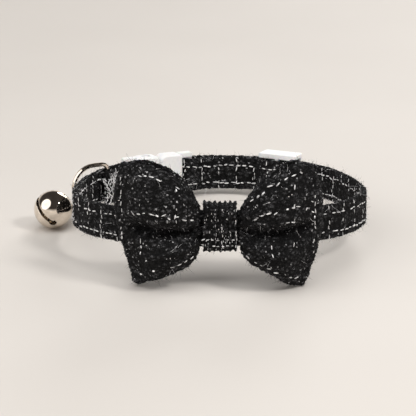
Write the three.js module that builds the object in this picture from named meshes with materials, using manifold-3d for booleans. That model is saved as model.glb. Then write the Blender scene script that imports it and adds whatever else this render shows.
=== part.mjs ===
// Pet bow tie collar: a tweed strap in a loop, joined at the back left by a white release buckle, with a
// white slider on its doubled end, a bow and its knot band on a keeper at the front, and a round bell on a
// D ring. Millimetres. X runs to the wearer's left, Y to the back and Z up. The loop is drawn level, with the
// middle of the strap's height at zero, and is then tipped until the bow's lower corners and the back stand
// on the floor.

import * as THREE from 'three';
import { mergeVertices } from 'three/addons/utils/BufferGeometryUtils.js';
import Module from 'manifold-3d';

const wasm = await Module();
wasm.setup();

// Driving sizes
const CLEARANCE = 0.3; // between pieces that touch
const LOOP_WIDTH = 87; // the strap's middle line, side to side
const LOOP_DEPTH = 74; // the strap's middle line, front to back
const STRAP_HEIGHT = 10.3;
const STRAP_THICK = 1.8;
const BUCKLE_SPAN = 24; // from bar to bar
const BUCKLE_HEIGHT = 14.5;
const BUCKLE_THICK = 5;
const BUCKLE_BAR = 1.6;
const BUCKLE_WALL = 1.2; // behind the tongue
const BUCKLE_TONGUE = 1.8; // how thick the tongue and the two arms are
const BUCKLE_MOUTH = 0.5; // where the two halves meet, as a share of the span from the plug's bar
const SLIDER_AT = 31; // along the strap from the plug's bar
const SLIDER_LENGTH = 13;
const SLIDER_HEIGHT = 14.5;
const SLIDER_BAR = 1.3;
const SLIDER_TAIL = 3; // the strap's sewn end past the slider's middle bar
const RING_AT = 9.8; // along the strap from the socket's bar
const RING_WIRE = 1.4;
const RING_REACH = 11.4; // from the D ring's bar to the far wire, middle to middle
const RING_ROOM = 1.9; // above and below the strap, to the middle of the wire
const RING_SWING = 52; // degrees that the D ring has swung forward from straight out
const HEM_LENGTH = 3.4; // the folded end past the D ring's bar
const BOW_WIDTH = 61;
const BOW_HEIGHT = 38;
const BOW_RISE = 2.3; // how far the bow's middle lies above the strap's
const BOW_CLOTH = 1.6;
const BOW_APART = 4.2; // half the most that the front and back cloths stand apart
const BOW_PUFF = 5.2; // how far the puffs stand out in front of the crease between them
const BOW_BACK = 0.75; // how far the back cloth stands from the middle, as a share of the front
const BOW_SWEEP = 1.5; // how far the tips lie behind the middle
const BOW_DROOP = 2.3; // how far the upper puff hangs over the crease
const KNOT_WIDTH = 10.2;
const KNOT_HEIGHT = 13.8;
const KNOT_CLOTH = 1.8;
const KEEPER_WIDTH = 7;
const KEEPER_CLOTH = 1;
const BELL_DIAMETER = 12;
const BELL_WALL = 0.6;
const BELL_SLOT = 1.3;
const BELL_HOLE = 2.4;
const BELL_SLOT_END = 58; // degrees from the slot's middle to the round hole at each end
const BELL_BALL = 3.6;
const BELL_TURN = -42; // degrees from straight ahead, in plan, that the bell's slot faces
const BELL_LIFT = 13; // degrees that the bell's slot faces up
const BELL_ROLL = 48; // degrees that the slot is turned from upright, about its middle
const SHANK_WIRE = 1;
const SHANK_LOOP = 3.4; // across the loop on the bell, middle of wire to middle of wire
const LINK_WIRE = 0.9;
const LINK_DIAMETER = 6.2; // the small ring between the D ring and the bell, middle of wire
const LINK_HEADING = 223; // degrees, in plan, from the D ring to the bell's loop
const LINK_PLACE = 46; // degrees below level at which the small ring hangs on the D ring
const SHANK_ROOM = 0.2; // more room for the small ring between the bell and its wire loop
const FLOOR_PRESS = 0.5; // how far the bow's corners are pressed flat where they stand
const SPREAD_FROM = 7; // how far from the plug's bar the strap's inner layer starts to leave the outer one
const SPREAD_TO = 1; // how far from the plug's bar it has reached the bar's inner side
const HEM_HOLDS = 1; // how far past the D ring's bar the hem starts to close

// Shares of another size
const UPPER_SWELL = 0.45; // powers that shape the bow's puffs: the lower the power, the fuller the puff
const LOWER_SWELL = 0.8;
const MOST_ROUND = 0.45; // a corner's radius, of the wall that it rounds
const HUMP_RISE = 0.65; // how far the strap rises over the slider's middle, of its thickness
const HUMP_FROM = 0.4; // where that rise starts to fall, of half the slider's length
const HUMP_TO = 0.8; // where it has fallen
const TAIL_ROOM = 1.2; // where the inner layer starts to rise from the slider's bar, of the sewn end
const RISE_END = 1.3; // where it has risen, of half the slider's length
const FINE_SHARE = 0.7; // how far from the slider's middle the track has short steps, of its length
const HEM_CLOSES = 0.6; // how much of the gap round the D ring's bar the hem closes past it
const HEM_ROUND = 0.6; // how far the bow's hems are rounded out, of half its cloth
const LATCH_PLACE = 0.62; // the middle of the latches on the buckle's arms, along the tongue
const LATCH_SHARE = 0.35; // how long the latches are, of the tongue

const FRONT = -LOOP_DEPTH / 2;
const UP = new THREE.Vector3(0, 0, 1);

// The loop's plan, from the socket's bar round by the front to the plug's bar and the buckle.
// across and back are shares of half the loop's width and depth.
const LOOP_PLAN = [
  { across: -0.72, back: 0.69 },
  { across: -0.9, back: 0.34 },
  { across: -0.99, back: -0.05 },
  { across: -0.98, back: -0.42 },
  { across: -0.79, back: -0.76 },
  { across: -0.4, back: -0.96 },
  { across: 0, back: -1 },
  { across: 0.4, back: -0.95 },
  { across: 0.79, back: -0.73 },
  { across: 1, back: -0.32 },
  { across: 0.95, back: 0.12 },
  { across: 0.79, back: 0.54 },
  { across: 0.5, back: 0.86 },
  { across: 0.12, back: 1 },
  { across: -0.32, back: 0.95 },
];

// The bow's lobes, from the knot's side (out 0) to the fold (out 1). apart and puff are shares of BOW_APART
// and BOW_PUFF. The rest say how far each hem has opened from the pinch (0) to half the bow's height (1).
const LOBES = [
  { out: 0, apart: 0, puff: 0.05, leftTop: 0, leftFoot: 0, rightTop: 0, rightFoot: 0 },
  { out: 0.09, apart: 0.28, puff: 0.42, leftTop: 0.34, leftFoot: 0.36, rightTop: 0.25, rightFoot: 0.34 },
  { out: 0.21, apart: 0.56, puff: 0.8, leftTop: 0.62, leftFoot: 0.56, rightTop: 0.46, rightFoot: 0.52 },
  { out: 0.38, apart: 0.84, puff: 1, leftTop: 0.82, leftFoot: 0.75, rightTop: 0.7, rightFoot: 0.7 },
  { out: 0.58, apart: 1, puff: 0.9, leftTop: 0.95, leftFoot: 0.87, rightTop: 0.88, rightFoot: 0.87 },
  { out: 0.79, apart: 0.8, puff: 0.5, leftTop: 1.04, leftFoot: 0.87, rightTop: 1.03, rightFoot: 0.95 },
  { out: 1, apart: 0.24, puff: 0.12, leftTop: 1, leftFoot: 0.91, rightTop: 0.96, rightFoot: 0.96 },
];

// The folds at the bow's ends: how far each reaches, as a share of half the bow's width, at each height.
const BOW_ENDS = [
  { height: -1, left: 0.83, right: 0.81 },
  { height: -0.65, left: 0.87, right: 0.88 },
  { height: -0.2, left: 0.95, right: 0.95 },
  { height: 0.2, left: 0.99, right: 0.975 },
  { height: 0.6, left: 1, right: 0.96 },
  { height: 1, left: 0.93, right: 0.87 },
];

// Reads a column of a table between its rows, on a smooth curve through them.
function readTable(table, along, column, place) {
  const last = table.length - 1;
  let i = 0;
  while (i < last - 1 && table[i + 1][along] < place) {
    i += 1;
  }
  const row = (k) => table[Math.min(last, Math.max(0, k))];
  const [before, near, far, after] = [row(i - 1), row(i), row(i + 1), row(i + 2)];
  const step = far[along] - near[along];
  const t = Math.min(1, Math.max(0, (place - near[along]) / step));
  const nearSlope = (step * (far[column] - before[column])) / (far[along] - before[along]);
  const farSlope = (step * (after[column] - near[column])) / (after[along] - near[along]);
  const ease = t * t * (3 - 2 * t);
  return near[column] + ease * (far[column] - near[column])
    + t * (1 - t) * (1 - t) * nearSlope - t * t * (1 - t) * farSlope;
}

function smoothStep(from, to, x) {
  const t = Math.min(1, Math.max(0, (x - from) / (to - from)));
  return t * t * (3 - 2 * t);
}

// Even steps between two values, both ends included.
function steps(from, to, size) {
  const count = Math.max(1, Math.round(Math.abs(to - from) / size));
  return Array.from({ length: count + 1 }, (_, i) => from + ((to - from) * i) / count);
}

// Sections: closed outlines as points of [along the track's plane normal, across the track].
function roundSection(diameter, sides) {
  return Array.from({ length: sides }, (_, i) => {
    const angle = (2 * Math.PI * (i + 0.5)) / sides;
    return [(diameter / 2) * Math.cos(angle), (diameter / 2) * Math.sin(angle)];
  });
}

function bandSection(width, thick) {
  const cut = thick * 0.3;
  const [x, y] = [width / 2, thick / 2];
  return [
    [x, cut - y], [x, y - cut], [x - cut, y], [cut - x, y],
    [-x, y - cut], [-x, cut - y], [cut - x, -y], [x - cut, -y],
  ];
}

function roundedBox(width, height, radius) {
  const x = width / 2;
  const y = height / 2;
  const shape = new THREE.Shape();
  shape.moveTo(x, radius - y);
  shape.lineTo(x, y - radius);
  shape.absarc(x - radius, y - radius, radius, 0, Math.PI / 2);
  shape.lineTo(radius - x, y);
  shape.absarc(radius - x, y - radius, radius, Math.PI / 2, Math.PI);
  shape.lineTo(-x, radius - y);
  shape.absarc(radius - x, radius - y, radius, Math.PI, 1.5 * Math.PI);
  shape.lineTo(x - radius, -y);
  shape.absarc(x - radius, radius - y, radius, 1.5 * Math.PI, 2 * Math.PI);
  return shape;
}

// A skin over rings of points. Joined rings close on themselves, and others get a flat end each.
function skin(rings, joined) {
  const around = rings[0].length;
  const index = [];
  const spans = joined ? rings.length : rings.length - 1;
  for (let i = 0; i < spans; i += 1) {
    const here = i * around;
    const next = ((i + 1) % rings.length) * around;
    for (let j = 0; j < around; j += 1) {
      const k = (j + 1) % around;
      index.push(here + j, here + k, next + k);
      index.push(here + j, next + k, next + j);
    }
  }
  const end = (rings.length - 1) * around;
  for (let j = 1; j < around - 1 && !joined; j += 1) {
    index.push(0, j + 1, j);
    index.push(end, end + j, end + j + 1);
  }
  const geometry = new THREE.BufferGeometry();
  const points = rings.flat().flatMap((p) => p.toArray());
  geometry.setAttribute('position', new THREE.Float32BufferAttribute(points, 3));
  geometry.setIndex(index);
  return geometry;
}

// Sweeps a section along a track that lies in a plane with the given normal.
function sweep(track, section, normal, joined) {
  const count = track.length;
  const rings = track.map((point, i) => {
    const before = track[joined ? (i + count - 1) % count : Math.max(0, i - 1)];
    const after = track[joined ? (i + 1) % count : Math.min(count - 1, i + 1)];
    const ahead = after.clone().sub(before).normalize();
    const aside = ahead.clone().cross(normal);
    return section.map(([rise, out]) => (
      point.clone().addScaledVector(normal, rise).addScaledVector(aside, out)
    ));
  });
  return skin(rings, joined);
}

// A rounded rectangle's middle line as a closed track.
function roundedTrack(width, height, radius, alongWidth, alongHeight) {
  const outline = roundedBox(width, height, radius).getPoints(3).slice(0, -1);
  return outline.map((p) => (
    new THREE.Vector3().addScaledVector(alongWidth, p.x).addScaledVector(alongHeight, p.y)
  ));
}

// Turns a closed mesh into a solid for joining and cutting, and a solid back into a mesh.
function solid(geometry) {
  const bare = geometry.clone();
  bare.deleteAttribute('normal');
  bare.deleteAttribute('uv');
  const merged = mergeVertices(bare, 1e-4);
  return new wasm.Manifold(new wasm.Mesh({
    numProp: 3,
    vertProperties: Float32Array.from(merged.attributes.position.array),
    triVerts: Uint32Array.from(merged.index.array),
  }));
}

function toGeometry(body) {
  const mesh = body.getMesh();
  const geometry = new THREE.BufferGeometry();
  geometry.setAttribute('position', new THREE.Float32BufferAttribute(mesh.vertProperties, 3));
  geometry.setIndex(Array.from(mesh.triVerts));
  return geometry;
}

// A block with rounded corners seen along its depth and softened rims. Its place is its middle. The corners
// of a thin wall are rounded by no more than MOST_ROUND of it.
function block(width, height, depth, corner, rim, place = [0, 0, 0]) {
  const [wide, high] = [width - 2 * rim, height - 2 * rim];
  const radius = Math.min(corner, MOST_ROUND * Math.min(wide, high));
  const geometry = new THREE.ExtrudeGeometry(roundedBox(wide, high, radius), {
    depth: depth - 2 * rim,
    curveSegments: 3,
    bevelEnabled: rim > 0,
    bevelThickness: rim,
    bevelSize: rim,
    bevelSegments: 1,
  });
  geometry.translate(place[0], place[1], place[2] + rim - depth / 2);
  return solid(geometry);
}

function box(width, height, depth, place = [0, 0, 0]) {
  return solid(new THREE.BoxGeometry(width, height, depth).translate(...place));
}

// The strap's plan: the loop's middle line, measured along from the socket's bar.
const loopPlaces = LOOP_PLAN.map((row) => (
  new THREE.Vector3((row.across * LOOP_WIDTH) / 2, (row.back * LOOP_DEPTH) / 2, 0)
));
const loopLine = new THREE.CatmullRomCurve3(loopPlaces, true);
loopLine.arcLengthDivisions = 600;
const loopLength = loopLine.getLength();

function onLoop(along, outward) {
  const share = (((along / loopLength) % 1) + 1) % 1;
  const ahead = loopLine.getTangentAt(share);
  const point = loopLine.getPointAt(share);
  return { point: point.addScaledVector(ahead.clone().cross(UP), outward), ahead };
}

// Where the plug's bar lies: the buckle's span, in a straight line, from the socket's bar.
function plugPlace() {
  const start = onLoop(0, 0).point;
  let along = loopLength - BUCKLE_SPAN;
  while (onLoop(along, 0).point.distanceTo(start) > BUCKLE_SPAN) {
    along += 0.02;
  }
  return along;
}

const plugAt = plugPlace();
const sliderAt = plugAt - SLIDER_AT;
const layerStep = STRAP_THICK + CLEARANCE;
const buckleTurn = BUCKLE_BAR / 2 + CLEARANCE + STRAP_THICK / 2;
const sliderTurn = SLIDER_BAR / 2 + CLEARANCE + STRAP_THICK / 2;
const ringSpread = RING_WIRE + 2 * CLEARANCE + STRAP_THICK;
const sliderHump = STRAP_THICK * HUMP_RISE;
const sliderBarOut = sliderHump - layerStep - sliderTurn;
const sliderHalf = SLIDER_LENGTH / 2;

// Half a turn round a bar, starting from one side of it and swinging past its far side.
function halfTurn(centre, radius, start, past) {
  return steps(0, 180, 30).slice(1, -1).map((degrees) => {
    const angle = THREE.MathUtils.degToRad(degrees);
    return centre.clone()
      .addScaledVector(start, radius * Math.cos(angle))
      .addScaledVector(past, radius * Math.sin(angle));
  });
}

function outwardAt(along) {
  return onLoop(along, 0).ahead.cross(UP);
}

// The strap's track: folded hem, round the socket's bar, along the loop, round the plug's bar, back along
// the inside, and round the slider's middle bar to its sewn end.
function strapTrack() {
  const hemOut = (along) => {
    const held = THREE.MathUtils.lerp(-2 * buckleTurn, -ringSpread, Math.min(1, along / RING_AT));
    const closes = smoothStep(RING_AT + HEM_HOLDS, RING_AT + HEM_LENGTH, along);
    return held + (ringSpread - layerStep) * HEM_CLOSES * closes;
  };
  const mainOut = (along) => {
    const away = Math.abs(along - sliderAt) / sliderHalf;
    return sliderHump * (1 - smoothStep(HUMP_FROM, HUMP_TO, away));
  };
  const backOut = (along) => {
    const fromBar = smoothStep(plugAt - SPREAD_FROM, plugAt - SPREAD_TO, along);
    const leavesTail = sliderAt + SLIDER_TAIL * TAIL_ROOM;
    const toSlider = 1 - smoothStep(leavesTail, sliderAt + sliderHalf * RISE_END, along);
    return -layerStep - (2 * buckleTurn - layerStep) * fromBar
      + (sliderBarOut - sliderTurn + layerStep) * toSlider;
  };
  const fine = SLIDER_LENGTH * FINE_SHARE;
  const hem = steps(RING_AT + HEM_LENGTH, 0, 1.7).map((s) => onLoop(s, hemOut(s)).point);
  const loop = [
    ...steps(0, sliderAt - fine, 4),
    ...steps(sliderAt - fine, sliderAt + fine, 1.3).slice(1, -1),
    ...steps(sliderAt + fine, plugAt, 3),
  ].map((s) => onLoop(s, mainOut(s)).point);
  const back = [
    ...steps(plugAt, sliderAt + fine, 1.8).slice(0, -1),
    ...steps(sliderAt + fine, sliderAt, 1.4),
  ].map((s) => onLoop(s, backOut(s)).point);
  const tailOut = sliderBarOut + sliderTurn;
  const tail = steps(sliderAt, sliderAt + SLIDER_TAIL, 1.5).map((s) => onLoop(s, tailOut).point);
  const socketBar = onLoop(0, -buckleTurn);
  const plugBar = onLoop(plugAt, -buckleTurn);
  const middleBar = onLoop(sliderAt, sliderBarOut);
  return [
    ...hem,
    ...halfTurn(socketBar.point, buckleTurn, outwardAt(0).negate(), socketBar.ahead.clone().negate()),
    ...loop,
    ...halfTurn(plugBar.point, buckleTurn, outwardAt(plugAt), plugBar.ahead),
    ...back,
    ...halfTurn(
      middleBar.point, sliderTurn, outwardAt(sliderAt).negate(), middleBar.ahead.clone().negate(),
    ),
    ...tail,
  ];
}

function strap() {
  return sweep(strapTrack(), bandSection(STRAP_HEIGHT, STRAP_THICK), UP, false);
}

// Sets a geometry drawn as x along, y up and z outward at a place on the loop.
function setAt(geometry, origin, ahead) {
  const matrix = new THREE.Matrix4().makeBasis(ahead, UP, ahead.clone().cross(UP)).setPosition(origin);
  return geometry.applyMatrix4(matrix);
}

// The slider: two rails, an outer bar at each end over the strap and a middle bar that its sewn end holds.
function slider() {
  const window = STRAP_HEIGHT + 2 * CLEARANCE;
  const rail = (SLIDER_HEIGHT - window) / 2;
  const inner = sliderBarOut - SLIDER_BAR / 2;
  const barFloor = STRAP_THICK / 2 + CLEARANCE;
  const outer = barFloor + SLIDER_BAR;
  const endAt = sliderHalf - SLIDER_BAR / 2;
  const depth = outer - inner;
  const rails = [-1, 1].map((side) => block(
    SLIDER_LENGTH, rail, depth, 0.4, 0.25, [0, side * (SLIDER_HEIGHT - rail) / 2, (outer + inner) / 2],
  ));
  const ends = [-1, 1].map((side) => block(
    SLIDER_BAR, SLIDER_HEIGHT - rail, SLIDER_BAR, 0.2, 0.2, [side * endAt, 0, outer - SLIDER_BAR / 2],
  ));
  const middle = block(SLIDER_BAR, SLIDER_HEIGHT - rail, SLIDER_BAR, 0.2, 0.2, [0, 0, sliderBarOut]);
  const body = [...rails, ...ends, middle].reduce((all, piece) => all.add(piece));
  const place = onLoop(sliderAt, 0);
  return setAt(toGeometry(body), place.point, place.ahead);
}

// The buckle lies straight between its two bars. Its x runs from the plug's bar to the socket's bar.
const buckleLine = {
  plug: onLoop(plugAt, -buckleTurn).point,
  socket: onLoop(0, -buckleTurn).point,
};
const buckleSpan = buckleLine.plug.distanceTo(buckleLine.socket);
const buckleAhead = buckleLine.socket.clone().sub(buckleLine.plug).normalize();
const buckleWindow = STRAP_HEIGHT + 2 * CLEARANCE;
const buckleRail = (BUCKLE_HEIGHT - buckleWindow) / 2;
const slotReach = BUCKLE_BAR / 2 + 2 * CLEARANCE + STRAP_THICK;
const mouthAt = buckleSpan * BUCKLE_MOUTH;
const cavityDepth = buckleSpan - slotReach - mouthAt - BUCKLE_WALL;
const tongueLength = cavityDepth;
const latchLength = tongueLength * LATCH_SHARE;
const latchAt = tongueLength * LATCH_PLACE;
const armHeight = buckleWindow / 5;

// An end frame: a bar for the strap, held by a rail above and below. away is 1 where the body lies ahead.
function strapFrame(barAt, away) {
  const length = slotReach + BUCKLE_BAR / 2 + 1;
  const middle = barAt + away * (length / 2 - BUCKLE_BAR / 2);
  const rails = [-1, 1].map((side) => block(
    length, buckleRail, BUCKLE_BAR * 1.5, 0.4, 0.2, [middle, side * (BUCKLE_HEIGHT - buckleRail) / 2, 0],
  ));
  const bar = block(BUCKLE_BAR, BUCKLE_HEIGHT - buckleRail, BUCKLE_BAR, 0.3, 0.2, [barAt, 0, 0]);
  return rails[0].add(rails[1]).add(bar);
}

function bucklePlug() {
  const from = slotReach;
  const to = mouthAt - CLEARANCE;
  const body = block(to - from, BUCKLE_HEIGHT, BUCKLE_THICK, 1.2, 0.6, [(to + from) / 2, 0, 0]);
  const tongue = block(
    tongueLength + 1, armHeight, BUCKLE_TONGUE, 0.3, 0.2, [to + (tongueLength - 1) / 2 - 0.5, 0, 0],
  );
  const armOut = buckleWindow / 2 - CLEARANCE - armHeight / 2;
  const arms = [-1, 1].flatMap((side) => [
    block(tongueLength, armHeight, BUCKLE_TONGUE, 0.4, 0.2, [to + tongueLength / 2 - 1, side * armOut, 0]),
    block(
      latchLength, buckleRail + armHeight / 2, BUCKLE_TONGUE, 0.6, 0.2,
      [to + latchAt, side * (armOut + armHeight / 2 + buckleRail / 4), 0],
    ),
  ]);
  return [strapFrame(0, 1), tongue, ...arms].reduce((all, piece) => all.add(piece), body);
}

function buckleSocket() {
  const from = mouthAt;
  const to = buckleSpan - slotReach;
  const body = block(to - from, BUCKLE_HEIGHT, BUCKLE_THICK, 1.2, 0.6, [(to + from) / 2, 0, 0]);
  const cavity = box(
    cavityDepth * 2, buckleWindow, BUCKLE_TONGUE + 2 * CLEARANCE, [from, 0, 0],
  );
  const window = box(
    latchLength + 2 * CLEARANCE, BUCKLE_HEIGHT * 2, BUCKLE_TONGUE + 2 * CLEARANCE,
    [from - CLEARANCE + latchAt, 0, 0],
  );
  return body.add(strapFrame(buckleSpan, -1)).subtract(cavity).subtract(window);
}

function setBuckle(body) {
  return setAt(toGeometry(body), buckleLine.plug, buckleAhead);
}

// The D ring: its straight bar is held in the strap's hem, and its bow stands outside, swung forward.
const ringBar = onLoop(RING_AT, -ringSpread / 2);
const ringOut = outwardAt(RING_AT).applyAxisAngle(UP, THREE.MathUtils.degToRad(RING_SWING));
const ringRadius = STRAP_HEIGHT / 2 + RING_ROOM;
const ringCorner = RING_WIRE * 1.2;

function ringTrack() {
  const bow = steps(-90, 90, 12).map((degrees) => {
    const angle = THREE.MathUtils.degToRad(degrees);
    return [RING_REACH - ringRadius + ringRadius * Math.cos(angle), ringRadius * Math.sin(angle)];
  });
  const corner = (side) => steps(0, 90, 30).map((degrees) => {
    const angle = THREE.MathUtils.degToRad(degrees);
    return [ringCorner * (1 - Math.sin(angle)), side * (ringRadius - ringCorner * (1 - Math.cos(angle)))];
  });
  const outline = [...bow, ...corner(1), [0, 0], ...corner(-1).reverse()];
  return outline.map(([out, rise]) => (
    ringBar.point.clone().addScaledVector(ringOut, out).addScaledVector(UP, rise)
  ));
}

function dRing() {
  const normal = ringOut.clone().cross(UP);
  return sweep(ringTrack(), roundSection(RING_WIRE, 8), normal, true);
}

// The bow: one wide strip of cloth closed in a loop. Its front and back meet in the folds at the two ends.
const keeperHalf = STRAP_THICK / 2 + CLEARANCE + KEEPER_CLOTH;
const knotHalf = KNOT_CLOTH + BOW_CLOTH + 1.5 * CLEARANCE;
const bowY = FRONT - keeperHalf - CLEARANCE - knotHalf;
const knotSide = KNOT_WIDTH / 2 + CLEARANCE;
const pinchApart = (BOW_CLOTH + CLEARANCE) / 2;
const pinchRise = KNOT_HEIGHT / 2 - KNOT_CLOTH - CLEARANCE - BOW_CLOTH / 2;
const FOLD_STEPS = 5;
const LOBE_STATIONS = [0, 0.04, 0.09, 0.15, 0.22, 0.31, 0.41, 0.52, 0.64, 0.76, 0.87, 0.96];
const HEM_HEIGHTS = [-1, -0.92, -0.75, -0.45, -0.2, 0, 0.1, 0.25, 0.5, 0.78, 0.93, 1];

// The puffs above and below the crease: nothing at the crease and at the hems, most in between. The upper one
// swells at once from the crease and the lower one slowly, so that the crease stays open below the upper one.
function puffShape(height) {
  return Math.abs(Math.sin(Math.PI * height)) ** (height < 0 ? LOWER_SWELL : UPPER_SWELL);
}

function lobeValue(column, out) {
  return readTable(LOBES, 'out', column, out);
}

function lobeApart(out) {
  return THREE.MathUtils.lerp(pinchApart, BOW_APART, lobeValue('apart', out));
}

// A point on the middle of the bow's cloth. side is -1 or 1, and face is -1 in front or 1 behind. out runs
// from the knot's side to the fold, and height from -1 at the lower hem to 1 at the upper hem.
function bowPoint(side, face, out, height) {
  const hand = side < 0 ? 'left' : 'right';
  const reach = THREE.MathUtils.lerp(1, readTable(BOW_ENDS, 'height', hand, height), out) * BOW_WIDTH / 2;
  const foldAt = reach - BOW_CLOTH / 2 - lobeApart(1);
  const open = lobeValue(hand + (height < 0 ? 'Foot' : 'Top'), out);
  const rise = THREE.MathUtils.lerp(pinchRise, (BOW_HEIGHT - BOW_CLOTH) / 2, open);
  const puff = lobeValue('puff', out);
  const droop = height > 0 && height < 0.5 ? puff * BOW_DROOP * Math.sin(2 * Math.PI * height) : 0;
  const frontY = -lobeApart(out) - puff * BOW_PUFF * puffShape(height);
  const backY = THREE.MathUtils.lerp(pinchApart, BOW_APART * BOW_BACK, lobeValue('apart', out));
  return new THREE.Vector3(
    side * THREE.MathUtils.lerp(knotSide, foldAt, out),
    (face < 0 ? frontY : backY) + BOW_SWEEP * out * out,
    rise * height - (face < 0 ? droop : 0),
  );
}

// Round the fold at a lobe's end, from its front edge to its back edge.
function foldPoint(side, turn, height) {
  const front = bowPoint(side, -1, 1, height);
  const back = bowPoint(side, 1, 1, height);
  const angle = Math.PI * turn;
  return new THREE.Vector3(
    front.x + side * lobeApart(1) * Math.sin(angle),
    (front.y + back.y) / 2 - (Math.cos(angle) * (back.y - front.y)) / 2,
    THREE.MathUtils.lerp(front.z, back.z, turn),
  );
}

// Rows of points, one for each station round the strip: right lobe and its back, then the left lobe's.
function bowRows() {
  const lobe = (side, face) => LOBE_STATIONS.map((out) => (height) => bowPoint(side, face, out, height));
  const turns = steps(0, 1, 1 / FOLD_STEPS);
  const fold = (side) => turns.map((turn) => (height) => foldPoint(side, turn, height));
  const right = [...lobe(1, -1), ...fold(1), ...lobe(1, 1).reverse()];
  const left = [...lobe(-1, 1), ...fold(-1).reverse(), ...lobe(-1, -1).reverse()];
  return [...right, ...left].map((at) => HEM_HEIGHTS.map(at));
}

function bow() {
  const rows = bowRows();
  const count = rows.length;
  const top = HEM_HEIGHTS.length - 1;
  const rings = rows.map((row, i) => {
    const normals = row.map((_, j) => {
      const ahead = rows[(i + 1) % count][j].clone().sub(rows[(i + count - 1) % count][j]);
      const up = row[Math.min(top, j + 1)].clone().sub(row[Math.max(0, j - 1)]);
      return ahead.cross(up).normalize();
    });
    const half = BOW_CLOTH / 2;
    const outer = row.map((p, j) => p.clone().addScaledVector(normals[j], half));
    const inner = row.map((p, j) => p.clone().addScaledVector(normals[j], -half));
    const hemRise = half * HEM_ROUND;
    const hem = (j) => new THREE.Vector3(row[j].x, row[j].y, row[j].z + (j ? hemRise : -hemRise));
    return [...inner, hem(top), ...outer.reverse(), hem(0)];
  });
  return skin(rings, true).translate(0, bowY, BOW_RISE);
}

// The knot band goes round the bow's pinched middle, and the keeper round the strap behind it.
const AHEAD_X = new THREE.Vector3(1, 0, 0);
const AHEAD_Y = new THREE.Vector3(0, 1, 0);

function band(depth, height, cloth, width, y, rise) {
  const corner = cloth + CLEARANCE;
  const track = roundedTrack(depth - cloth, height - cloth, corner - cloth / 2, AHEAD_Y, UP);
  return sweep(track, bandSection(width, cloth), AHEAD_X, true).translate(0, y, rise);
}

function knot() {
  return band(2 * knotHalf, KNOT_HEIGHT, KNOT_CLOTH, KNOT_WIDTH, bowY, BOW_RISE);
}

function keeper() {
  const height = STRAP_HEIGHT + 2 * (CLEARANCE + KEEPER_CLOTH);
  return band(2 * keeperHalf, height, KEEPER_CLOTH, KEEPER_WIDTH, FRONT, 0);
}

// How the level collar is tipped and lifted: its hard pieces touch the floor at the back, and the bow's
// lower corners are pressed into it by FLOOR_PRESS in front.
function lowest(geometries, matrix) {
  const point = new THREE.Vector3();
  return Math.min(...geometries.map((geometry) => {
    const places = geometry.attributes.position;
    let low = Infinity;
    for (let i = 0; i < places.count; i += 1) {
      low = Math.min(low, point.fromBufferAttribute(places, i).applyMatrix4(matrix).z);
    }
    return low;
  }));
}

function standing(hard, soft) {
  let [least, most] = [0, Math.PI / 6];
  while (most - least > 1e-7) {
    const tip = (least + most) / 2;
    const matrix = new THREE.Matrix4().makeRotationX(-tip);
    const bowIsHigh = lowest(soft, matrix) + FLOOR_PRESS > lowest(hard, matrix);
    [least, most] = bowIsHigh ? [least, tip] : [tip, most];
  }
  const matrix = new THREE.Matrix4().makeRotationX(-least);
  return matrix.premultiply(new THREE.Matrix4().makeTranslation(0, 0, -lowest(hard, matrix)));
}

// Presses what would reach below the floor flat onto it.
function pressFlat(geometry, matrix) {
  const back = matrix.clone().invert();
  const places = geometry.attributes.position;
  const point = new THREE.Vector3();
  for (let i = 0; i < places.count; i += 1) {
    point.fromBufferAttribute(places, i).applyMatrix4(matrix);
    if (point.z < 0) {
      point.setZ(0).applyMatrix4(back);
      places.setXYZ(i, point.x, point.y, point.z);
    }
  }
  return geometry;
}

// The small ring hangs on the D ring's lower curve, and the bell lies on the floor at its other end.
const bellRadius = BELL_DIAMETER / 2;

function turned(degrees, lift) {
  const turn = THREE.MathUtils.degToRad(degrees);
  const rise = THREE.MathUtils.degToRad(lift);
  return new THREE.Vector3(
    Math.sin(turn) * Math.cos(rise), -Math.cos(turn) * Math.cos(rise), Math.sin(rise),
  );
}

function bellPlaces(matrix) {
  const angle = THREE.MathUtils.degToRad(-LINK_PLACE);
  const held = ringBar.point.clone()
    .addScaledVector(ringOut, RING_REACH - ringRadius + ringRadius * Math.cos(angle))
    .addScaledVector(UP, ringRadius * Math.sin(angle))
    .applyMatrix4(matrix);
  const along = ringOut.clone().multiplyScalar(-Math.sin(angle)).addScaledVector(UP, Math.cos(angle));
  const ringAlong = along.transformDirection(matrix);
  const pole = turned(BELL_TURN, BELL_LIFT);
  const shank = pole.clone().negate();
  const shankAt = bellRadius + SHANK_WIRE / 2 + LINK_WIRE + 2 * CLEARANCE + SHANK_ROOM;
  const hole = LINK_DIAMETER / 2 - LINK_WIRE / 2 - CLEARANCE;
  const span = 2 * hole - RING_WIRE / 2 - SHANK_WIRE / 2;
  const drop = held.z - (bellRadius + shankAt * shank.z);
  const level = Math.sqrt(span * span - drop * drop);
  const heading = THREE.MathUtils.degToRad(LINK_HEADING);
  const ahead = new THREE.Vector3(level * Math.cos(heading), level * Math.sin(heading), -drop);
  const shankTop = held.clone().add(ahead);
  ahead.normalize();
  const linkNormal = ringAlong.clone().addScaledVector(ahead, -ringAlong.dot(ahead)).normalize();
  return {
    linkMiddle: held.clone().addScaledVector(ahead, hole - RING_WIRE / 2),
    linkNormal,
    shank,
    shankAt,
    shankAlong: linkNormal.clone().addScaledVector(shank, -linkNormal.dot(shank)).normalize(),
    middle: shankTop.clone().addScaledVector(shank, -shankAt),
  };
}

function link() {
  return new THREE.TorusGeometry(LINK_DIAMETER / 2, LINK_WIRE / 2, 6, 16);
}

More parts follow.
